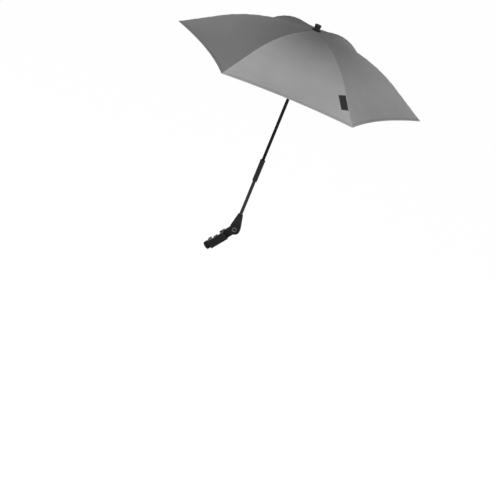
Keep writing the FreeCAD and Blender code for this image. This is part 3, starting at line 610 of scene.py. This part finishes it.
@dataclass
class Canopy:
    """The sewn canopy: two halves of cloth at each rib, with hem, seams, stitches, ties, pockets and tag."""

    ribs: int = 6
    tip_radius: float = 360 * MM
    apex_rise: float = 124 * MM
    inner_slope: float = math.radians(5.5)
    outer_slope: float = math.radians(30.5)
    knee_radius: float = 430 * MM
    hole_radius: float = 6.2 * MM
    scallop: float = 19 * MM
    sag: float = 10 * MM
    cloth: float = 0.6 * MM
    row_pitch: float = 4 * MM
    # The hem and the felled seams
    hem: float = 6 * MM
    hem_rise: float = 0.4 * MM
    hem_bevel: float = 1.2 * MM
    hem_rows_mm: tuple[float, ...] = (9.0, 7.4, 6.7, 5.9, 3.5, 1.5, 0.5, 0.0)  # in from the rim
    seam: float = 3 * MM
    seam_rise: float = 0.35 * MM
    seam_bevel: float = 1 * MM
    seam_tone: float = 0.4  # how far a felled seam shows as doubled cloth
    seam_columns_mm: tuple[float, ...] = (0.0, 1.0, 2.0, 3.0, 3.5, 4.2, 7.0, 11.0)  # out from the rib
    squeeze_width: float = 40 * MM  # of a half gore, under which the columns at the seam close up
    wide_columns: int = 19
    # The puckers along a seam, and the pulls that spread from a corner
    pucker: float = 0.25 * MM
    pucker_reach: float = 11 * MM
    pucker_waves: tuple[tuple[float, float, float], ...] = (  # height, length over a turn, shift by rib
        (1.0, 5.1 * MM, 1.7), (0.6, 2.9 * MM, 4.1),
    )
    pull_rise: float = 0.4 * MM
    pull_folds: int = 9
    pull_start: float = 25 * MM
    pull_reach: float = 55 * MM
    # The folds
    band_count: int = 10  # of narrow bands, between the cap and the skirt
    cap_radius: float = 40 * MM
    skirt_radius: float = 205 * MM
    meeting_share: float = 0.5  # how far along a band its edge meets the neighbour's, once folded
    first_meeting: float = 32 * MM  # the innermost distance at which folded neighbours meet
    least_share: float = 0.16  # of the cloth's width that is left, once folded
    # The stitches; their lines are shares of the seam's or the hem's width
    stitch_pitch: float = 3.4 * MM
    stitch_length: float = 2.5 * MM
    stitch_radius: float = 0.22 * MM
    stitch_sink: float = 0.5  # of the radius, into the cloth
    seam_line: float = 0.75
    seam_line_start: float = 22 * MM
    seam_line_stop: float = 1.6  # in from the rim, in widths of the hem
    seam_line_points: int = 90
    hem_line: float = 0.8
    hem_line_points: int = 60
    # The thread ties
    rib_depth: float = 3.3 * MM
    tie_rise: float = 0.3 * MM  # of a thread loop's middle over the rib's
    tie_start: float = 70 * MM
    tie_stop: float = 60 * MM  # in from the rim
    tie_points: int = 60
    tie_pitch: float = 57 * MM
    tie_loop: float = 2.1 * MM
    tie_radius: float = 0.28 * MM
    # The pockets over the rib tips
    pocket_half: float = 5 * MM
    pocket_depth: float = 6.2 * MM
    pocket_wall: float = 0.5 * MM
    pocket_ends_mm: tuple[float, float, float] = (44, 15, 7)  # mouth, shoulder and end, in from the rim
    pocket_rows: tuple[int, int] = (9, 10)  # before the shoulder, and round the end
    pocket_facets: int = 14
    pocket_closing: float = 0.98  # how far the end closes
    pocket_tone: float = 0.5  # how far a pocket shows as doubled cloth
    # The tag
    tag_rib: int = 6
    tag_start: float = 275 * MM
    tag_length: float = 41 * MM
    tag_width: float = 20 * MM
    tag_slant: float = 0.28
    tag_lift: float = 0.55 * MM
    tag_thickness: float = 0.4 * MM
    tag_grid: tuple[int, int] = (22, 12)
    tag_border: tuple[float, float] = (0.64 * MM, 2.72 * MM)  # in from the tag's edge
    tag_tone: float = 0.8  # how far the border shows
    centre: Vector = field(init=False)
    half: float = field(init=False)
    bands: list[Band] = field(init=False)

    def __post_init__(self) -> None:
        """Finds the middle of the rib tips in the frame, and divides the cloth into bands."""
        pole_low, pole_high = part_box("upper_pole")
        middle = (pole_low + pole_high) / 2
        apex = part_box("canopy_gore_1")[1].z
        self.centre = Vector((middle.x, middle.y, apex - self.ridge(self.hole_radius)))
        self.half = math.pi / self.ribs
        squares = np.linspace(self.cap_radius ** 2, self.skirt_radius ** 2, self.band_count + 1)
        ends = [self.hole_radius, *(math.sqrt(square) for square in squares), self.tip_radius]
        self.bands = [Band(number, *pair) for number, pair in enumerate(zip(ends, ends[1:]), 1)]

    def ridge(self, distance: float) -> float:
        """Gives the height of the cloth over a rib: two straight slopes, joined by an arc.

        Args:
            distance: Distance from the pole's axis.

        Returns:
            Height above the rib tips.
        """
        steep, flat = math.tan(self.outer_slope), math.tan(self.inner_slope)
        corner = (self.tip_radius * steep - self.apex_rise) / (steep - flat)
        reach = self.knee_radius * math.tan((self.outer_slope - self.inner_slope) / 2)
        start = corner - reach * math.cos(self.inner_slope)
        middle = start - self.knee_radius * math.sin(self.inner_slope)
        base = self.apex_rise - start * flat - self.knee_radius * math.cos(self.inner_slope)
        if distance < start:
            return self.apex_rise - distance * flat
        if distance > middle + self.knee_radius * math.sin(self.outer_slope):
            return (self.tip_radius - distance) * steep
        return base + math.sqrt(self.knee_radius ** 2 - (distance - middle) ** 2)

    def raised(self, distance: float, aside: float, number: int) -> float:
        """Gives the fine relief of the cloth: hem, felled seam, puckers along the seam and pulls at the tip.

        Args:
            distance: The row's distance from the pole's axis.
            aside: Distance from the rib, round the pole.
            number: The rib's number, which shifts the puckers.

        Returns:
            Height over the plain surface.
        """
        from_rim = self.tip_radius - distance
        over_hem = clamped((self.hem - from_rim) / self.hem_bevel + 1)
        over_seam = clamped((self.seam - aside) / self.seam_bevel + 1)
        wide = max(distance * math.sin(self.half), MM)
        fade = (1 - min(1.0, aside / wide) ** 2) ** 2
        waves = sum(high * math.sin(distance / long + by * number) for high, long, by in self.pucker_waves)
        pucker = self.pucker * waves * math.exp(-aside / self.pucker_reach) * fade
        reach = math.hypot(from_rim, aside)
        pull = math.sin(self.pull_folds * math.atan2(aside, from_rim + MM))
        pull = pull * math.exp(-reach / self.pull_reach) * min(1, reach / self.pull_start)
        return self.hem_rise * over_hem + self.seam_rise * over_seam + pucker + self.pull_rise * pull * fade

    def doubled(self, distance: float, aside: float) -> float:
        """Gives how far the cloth shows as doubled, on the hem and on the felled seam.

        Args:
            distance: The row's distance from the pole's axis.
            aside: Distance from the rib, round the pole.

        Returns:
            From 0, single, to 1, doubled; the edge between them is halfway.
        """
        over_hem = clamped((self.hem - self.tip_radius + distance) / self.hem_bevel + 0.5)
        over_seam = clamped((self.seam - aside) / self.seam_bevel + 0.5)
        return max(over_hem, self.seam_tone * over_seam)

    def point(self, distance: float, aside: float, side: Side, lift: float = 0.0) -> Vector:
        """Gives a point of the cloth's plain outer surface, with the rib along X.

        Args:
            distance: The row's distance from the pole's axis.
            aside: Distance from the rib, round the pole.
            side: Which half of the cloth.
            lift: Height over the surface.

        Returns:
            The point, from the middle of the rib tips.
        """
        share = (distance - self.hole_radius) / (self.tip_radius - self.hole_radius)
        wide = distance * math.sin(self.half)
        across = min(1.0, aside / wide)
        bow = 1 - (1 - across) ** 2
        out = distance * math.cos(self.half) - self.scallop * share ** 2 * bow
        down = self.sag * CUBIC_PEAK * share ** 2 * (1 - share) * bow
        left = wide * (1 - across)
        x = out * math.cos(self.half) + left * math.sin(self.half)
        y = out * math.sin(self.half) - left * math.cos(self.half)
        return Vector((x, y * side.value, self.ridge(distance) - down + lift))

    def turn(self, number: int) -> Matrix:
        """The turn round the pole from the X axis to a rib."""
        return Matrix.Rotation((number - 1) * 2 * self.half, 3, "Z")

    def placed(self, point: Vector, number: int) -> Vector:
        """Turns a point from a rib's own plane to its place in the frame."""
        return self.turn(number) @ point + self.centre

    def rows(self, band: Band) -> list[float]:
        """Gives the distances of the cloth's rows in one band, closer together at the hem.

        Args:
            band: The band.

        Returns:
            Distances from the pole's axis.
        """
        edge = [self.tip_radius - back * MM for back in self.hem_rows_mm]
        last = edge if band is self.bands[-1] else [band.stop]
        count = round((last[0] - band.start) / self.row_pitch) + 1
        return list(np.linspace(band.start, last[0], count)) + last[1:]

    def columns(self, distance: float) -> list[float]:
        """Gives how far aside the cloth's columns lie in one row, closer together at the seam.

        Args:
            distance: The row's distance from the pole's axis.

        Returns:
            Distances from the rib, round the pole.
        """
        wide = distance * math.sin(self.half)
        squeeze = min(1.0, wide / self.squeeze_width)
        near = [step * MM * squeeze for step in self.seam_columns_mm]
        return near + list(np.linspace(near[-1], wide, self.wide_columns)[1:])

    def hold(self, piece: Piece, number: int) -> None:
        """Lets a piece ride on its rib."""
        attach(piece, f"rib_{number}")

    def panel(self, number: int, side: Side, band: Band) -> Piece:
        """Makes one half of the cloth at a rib, in one band, as a thin closed sheet.

        Args:
            number: The rib's number.
            side: Which half.
            band: Which band.

        Returns:
            The piece, riding on its rib.
        """
        rows = self.rows(band)
        sheet = Sheet(len(self.columns(rows[0])))
        for distance in rows:
            for aside in self.columns(distance):
                lift = self.raised(distance, aside, number)
                outer = self.point(distance, aside, side, lift)
                inner = outer - Vector((0, 0, self.cloth + lift))
                sheet.put(
                    self.placed(outer, number), self.placed(inner, number), (aside * side.value, distance),
                    self.doubled(distance, aside),
                )
        name = f"canopy_{number}_{side.name.lower()}_band_{band.number}"
        piece = sheet.made(name, Finish.CLOTH, turned=side is Side.RIGHT)
        self.hold(piece, number)
        self.fold(piece)
        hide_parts(f"canopy_gore_{number}")
        return piece

    def fold(self, piece: Piece) -> None:
        """Gives a piece of cloth its own copy of its mesh.

        Args:
            piece: The piece.
        """
        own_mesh(piece)

    def sew(self, number: int, side: Side, tree: Tree) -> list[Piece]:
        """Sews the seam and the hem of one half of the cloth.

        Args:
            number: The rib's number.
            side: Which half.
            tree: The tree of stitches.

        Returns:
            The two rows of stitches.
        """
        beside = self.seam_line * self.seam
        stop = self.tip_radius - self.seam_line_stop * self.hem
        row = self.tip_radius - self.hem_line * self.hem
        corner = row * math.sin(self.half) - MM
        lines = {
            "seam": [(d, beside) for d in np.linspace(self.seam_line_start, stop, self.seam_line_points)],
            "hem": [(row, aside) for aside in np.linspace(self.seam, corner, self.hem_line_points)],
        }
        values = {
            "Pitch": self.stitch_pitch, "Length": self.stitch_length, "Radius": self.stitch_radius,
            "Material": Finish.THREAD.material,
        }
        pieces = []
        for label, line in lines.items():
            path = []
            for distance, aside in line:
                lift = self.raised(distance, aside, number) + self.stitch_radius * self.stitch_sink
                path.append(self.placed(self.point(distance, aside, side, lift), number))
            piece = bake_nodes(f"{label}_stitches_{number}_{side.name.lower()}", path, tree, values)
            self.hold(piece, number)
            self.fold(piece)
            pieces.append(piece)
        return pieces

    def pocket(self, number: int) -> Piece:
        """Makes the cloth pouch under a corner, which holds the rib's tip and closes round its end.

        Args:
            number: The rib's number.

        Returns:
            The piece, riding on its rib.
        """
        mouth, shoulder, end = (self.tip_radius - back * MM for back in self.pocket_ends_mm)
        before, closing = self.pocket_rows
        spots = [(distance, 0.0) for distance in np.linspace(mouth, shoulder, before)[:-1]]
        for share in np.sin(np.linspace(0, math.pi / 2, closing)):
            spots.append((shoulder + (end - shoulder) * share, share))
        arc = [math.pi * step / self.pocket_facets for step in range(self.pocket_facets + 1)]
        sheet = Sheet(len(arc))
        for distance, share in spots:
            left = math.sqrt(1 - self.pocket_closing * share ** 2)
            for angle in arc:
                walls = []
                for wall in (0.0, self.pocket_wall):
                    aside = (self.pocket_half * left - wall) * math.cos(angle)
                    drop = self.cloth + (self.pocket_depth * left - wall) * math.sin(angle)
                    side = Side.LEFT if aside >= 0 else Side.RIGHT
                    walls.append(self.placed(self.point(distance, abs(aside), side, -drop), number))
                sheet.put(*walls, (angle * self.pocket_half, distance), self.pocket_tone)
        piece = sheet.made(f"tip_pocket_{number}", Finish.CLOTH, cut=False)
        self.hold(piece, number)
        return piece

    def tie(self, number: int, tree: Tree) -> Piece:
        """Ties the cloth to a rib with thread loops.

        Args:
            number: The rib's number.
            tree: The tree of ties.

        Returns:
            The row of loops.
        """
        path = []
        for distance in np.linspace(self.tie_start, self.tip_radius - self.tie_stop, self.tie_points):
            fall = (self.ridge(distance - MM) - self.ridge(distance + MM)) / (2 * MM)
            drop = (self.rib_depth - self.tie_rise) * math.hypot(1, fall)
            path.append(self.placed(self.point(distance, 0, Side.LEFT, -drop), number))
        values = {
            "Pitch": self.tie_pitch, "Loop": self.tie_loop, "Radius": self.tie_radius,
            "Material": Finish.THREAD.material,
        }
        piece = bake_nodes(f"rib_ties_{number}", path, tree, values)
        self.hold(piece, number)
        return piece

    def tag(self) -> Piece:
        """Sews the small bare tag to the cloth beside one seam.

        Returns:
            The piece, riding on the seam's rib.
        """
        side, number = Side.RIGHT, self.tag_rib
        rows, wide = self.tag_grid
        low, high = self.tag_border
        sheet = Sheet(wide)
        for along in np.linspace(0, self.tag_length, rows):
            for aside in np.linspace(0, self.tag_width, wide):
                distance = self.tag_start + along + self.tag_slant * aside
                spot = self.point(distance, self.seam + aside, side, self.tag_lift)
                outer = spot + Vector((0, 0, self.tag_thickness))
                edge = min(along, self.tag_length - along, aside, self.tag_width - aside)
                mark = self.tag_tone if low < edge < high else 0.0
                sheet.put(self.placed(outer, number), self.placed(spot, number), (aside, along), mark)
        piece = sheet.made("sewn_tag", Finish.TAG, turned=True)
        self.hold(piece, number)
        self.fold(piece)
        return piece

    def build(self) -> list[str]:
        """Makes all the cloth and what is sewn to it.

        Returns:
            The names of the pieces.
        """
        stitches = path_tree("row of stitches", ("Pitch", "Length", "Radius"), stitch)
        ties = path_tree("thread ties", ("Pitch", "Loop", "Radius"), thread_loop)
        pieces = []
        for number in range(1, self.ribs + 1):
            for side in Side:
                pieces += [self.panel(number, side, band) for band in self.bands]
                pieces += self.sew(number, side, stitches)
            pieces += [self.pocket(number), self.tie(number, ties)]
        pieces.append(self.tag())
        return [piece.name for piece in pieces]


@dataclass
class Spindle:
    """The clamp's screw with a real thread, in place of the plain shaft."""

    radius: float = 3.0 * MM
    root: float = 2.35 * MM
    pitch: float = 2.0 * MM
    around: int = 28
    step: float = 0.22 * MM
    crest: float = 1.35  # height of the thread's flanks if they met, over the thread's depth
    fall: float = 0.95  # of a flank in a quarter of the pitch, over the thread's depth

    def build(self) -> list[str]:
        """Winds the thread along the shoe's own direction.

        Returns:
            The name of the piece.
        """
        joint = next(j for j in frame["joints"] if j["name"] == "shoe_slide")
        axis = Vector(joint["axis"]).normalized()
        across = axis.orthogonal().normalized()
        beyond = axis.cross(across)
        heights = [Vector(v.co).dot(axis) for v in frame["nodes"]["thumb_screw"].data.vertices]
        low, high = min(heights), max(heights)
        count = int((high - low) / self.step)
        points = []
        for row in range(count + 1):
            height = low + (high - low) * row / count
            end = min(1.0, (high - height) / self.pitch, (height - low) / self.pitch)
            for place in range(self.around):
                turn = 2 * math.pi * place / self.around
                phase = (height / self.pitch - place / self.around) % 1
                crest = clamped(self.crest - abs(4 * phase - 2) * self.fall)
                radius = self.root + (self.radius - self.root) * crest * end
                points.append(axis * height + (across * math.cos(turn) + beyond * math.sin(turn)) * radius)
        faces = []
        for base in range(0, count * self.around, self.around):
            for place in range(self.around):
                here, there = base + place, base + (place + 1) % self.around
                faces.append((here, there, there + self.around, here + self.around))
        faces.append(tuple(reversed(range(self.around))))
        faces.append(tuple(count * self.around + place for place in range(self.around)))
        piece = mesh_object("threaded_spindle", points, faces, Finish.ZINC.material)
        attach(piece, "screw")
        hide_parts("thumb_screw")
        return [piece.name]


@dataclass
class Fittings:
    """The finishes of the nodes; numbered nodes share the finish of their kind."""

    kinds: dict[Finish, tuple[str, ...]] = field(default_factory=lambda: {
        Finish.NYLON: (
            "clamp_body", "clamp_shoe", "thumb_knob", "yoke", "tilt_knuckle", "crown", "finial", "runner",
            "catch_anchor", "rib_clip", "rib_tip",
        ),
        Finish.ABS: ("tilt_housing",),
        Finish.RUBBER: ("clamp_liner", "shoe_pad", "friction_plug"),
        Finish.COATED_TUBE: ("upper_pole",),
        Finish.BLACK_CHROME: ("lower_rod",),
        Finish.BLACKED_BOLT: ("pivot_bolt",),
        Finish.BLACK_WIRE: ("rib", "stretcher", "socket_rivet", "tilt_pin", "housing_rivet"),
        Finish.ZINC: ("pivot_nut", "crown_pins", "thumb_screw"),
        Finish.SPRING: ("runner_catch",),
        Finish.FIBRE: ("friction_washers",),
        Finish.CLOTH: ("canopy_gore",),
    })

    def build(self) -> list[str]:
        """Gives every node its finish.

        Returns:
            The names of the nodes.
        """
        finishes = {kind: finish for finish, kinds in self.kinds.items() for kind in kinds}
        for name, node in frame["nodes"].items():
            finish = finishes[name.rstrip("0123456789").rstrip("_")]
            node.data.materials.clear()
            node.data.materials.append(finish.material)
        return list(frame["nodes"])


@dataclass(frozen=True)
class Lamp:
    """A soft square lamp, aimed at the middle of the rib tips."""

    name: str
    place: tuple[float, float, float]  # from the middle of the rib tips
    power: float  # in watts
    size: float

    def hang(self, centre: Vector) -> None:
        """Hangs the lamp.

        Args:
            centre: The middle of the rib tips.
        """
        data = bpy.data.lights.new(self.name, "AREA")
        data.energy, data.size = self.power, self.size
        lamp = new_object(self.name, data)
        place = centre + Vector(self.place)
        aim = (centre - place).to_track_quat("-Z", "Y").to_matrix().to_4x4()
        lamp.matrix_world = Matrix.Translation(place) @ aim
        lamp.visible_camera = False


@dataclass
class Studio:
    """A pale floor, soft lamps and the camera."""

    eye: tuple[float, float, float] = (0.0156, -3.5066, 0.9302)  # from the middle of the rib tips
    right: tuple[float, float, float] = (0.9241, 0.1390, 0.3558)
    up: tuple[float, float, float] = (-0.3818, 0.3627, 0.8501)
    lens_mm: float = 94.6
    sensor_mm: float = 36.0
    floor_drop: float = 0.55
    floor_size: float = 60.0
    floor_colour: str = "#f4f4f2"
    floor_roughness: float = 0.9
    floor_glow: float = 1.09
    floor_glow_share: float = 0.88  # the rest shows the shadow
    sky: float = 0.26
    lamps: tuple[Lamp, ...] = (
        Lamp("key", (0.33, -1.22, 0.1), 9.5, 0.6),
        Lamp("left", (-0.8, -1.38, 0.11), 10.2, 0.8),
        Lamp("right", (1.31, -0.92, 0.06), 8.7, 0.8),
        Lamp("back", (0.6, 1.7, -0.1), 10.0, 1.0),
    )

    def camera(self, centre: Vector) -> None:
        """Sets the camera at the photograph's angle.

        Args:
            centre: The middle of the rib tips.
        """
        data = bpy.data.cameras.new("camera")
        data.lens, data.sensor_width, data.sensor_fit = self.lens_mm, self.sensor_mm, "HORIZONTAL"
        eye = new_object("camera", data)
        right, up = Vector(self.right).normalized(), Vector(self.up)
        back = right.cross(up).normalized()
        up = back.cross(right)
        turn = Matrix((right, up, back)).transposed().to_4x4()
        eye.matrix_world = Matrix.Translation(centre + Vector(self.eye)) @ turn
        bpy.context.scene.camera = eye

    def seen(self, tree: Tree) -> Socket:
        """Finds whether a ray shows the backdrop itself, straight or in metal, and doesn't gather light.

        Args:
            tree: The backdrop's tree.

        Returns:
            One for such a ray, and zero for the others.
        """
        path = add(tree, "ShaderNodeLightPath").outputs
        share = path["Is Camera Ray"]
        for ray in ("Is Glossy Ray", "Is Transmission Ray"):
            share = add(tree, "ShaderNodeMath", {"operation": "MAXIMUM"}, {0: share, 1: path[ray]}).outputs[0]
        return share

    def floor(self) -> None:
        """Lays the floor well below the clamp, white to the camera but for a faint shadow."""
        material, tree = new_material("matt white floor")
        matt = add(tree, "ShaderNodeBsdfPrincipled", inputs={
            "Base Color": linear(self.floor_colour), "Roughness": self.floor_roughness,
        })
        glow = add(tree, "ShaderNodeEmission", inputs={"Color": linear(WHITE), "Strength": self.floor_glow})
        share = add(tree, "ShaderNodeMath", {"operation": "MULTIPLY"}, {
            0: self.seen(tree), 1: self.floor_glow_share,
        })
        mixed = add(tree, "ShaderNodeMixShader", inputs={
            0: share.outputs[0], 1: matt.outputs["BSDF"], 2: glow.outputs["Emission"],
        })
        add(tree, "ShaderNodeOutputMaterial", inputs={"Surface": mixed.outputs["Shader"]})
        low, half = CAD_BOX[0][2] - self.floor_drop, self.floor_size / 2
        corners = [Vector((x * half, y * half, low)) for x, y in ((-1, -1), (1, -1), (1, 1), (-1, 1))]
        mesh_object("floor", corners, [(0, 1, 2, 3)], material)

    def world(self) -> None:
        """Gives a plain sky: white to the camera, softer as light."""
        world = bpy.data.worlds.new("studio")
        world.use_nodes = True
        tree = world.node_tree
        tree.nodes.clear()
        strength = add(tree, "ShaderNodeMapRange", inputs={
            "Value": self.seen(tree), "To Min": self.sky, "To Max": 1.0,
        })
        sky = add(tree, "ShaderNodeBackground", inputs={
            "Color": linear(WHITE), "Strength": strength.outputs["Result"],
        })
        add(tree, "ShaderNodeOutputWorld", inputs={"Surface": sky.outputs["Background"]})
        bpy.context.scene.world = world

    def build(self, centre: Vector) -> None:
        """Sets up everything round the parasol.

        Args:
            centre: The middle of the rib tips.
        """
        self.camera(centre)
        self.floor()
        self.world()
        for lamp in self.lamps:
            lamp.hang(centre)
        bpy.context.scene.view_settings.view_transform = "Standard"


def main() -> None:
    """Builds the parasol's looks in order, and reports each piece."""
    logging.basicConfig(level=logging.INFO, format="%(name)s: %(message)s")
    canopy = Canopy()
    for maker in (Fittings(), canopy, Spindle()):
        for name in maker.build():
            LOG.info("%s: %s", type(maker).__name__, name)
    Studio().build(canopy.centre)
    bpy.context.view_layer.update()


if __name__ == "__main__":
    main()
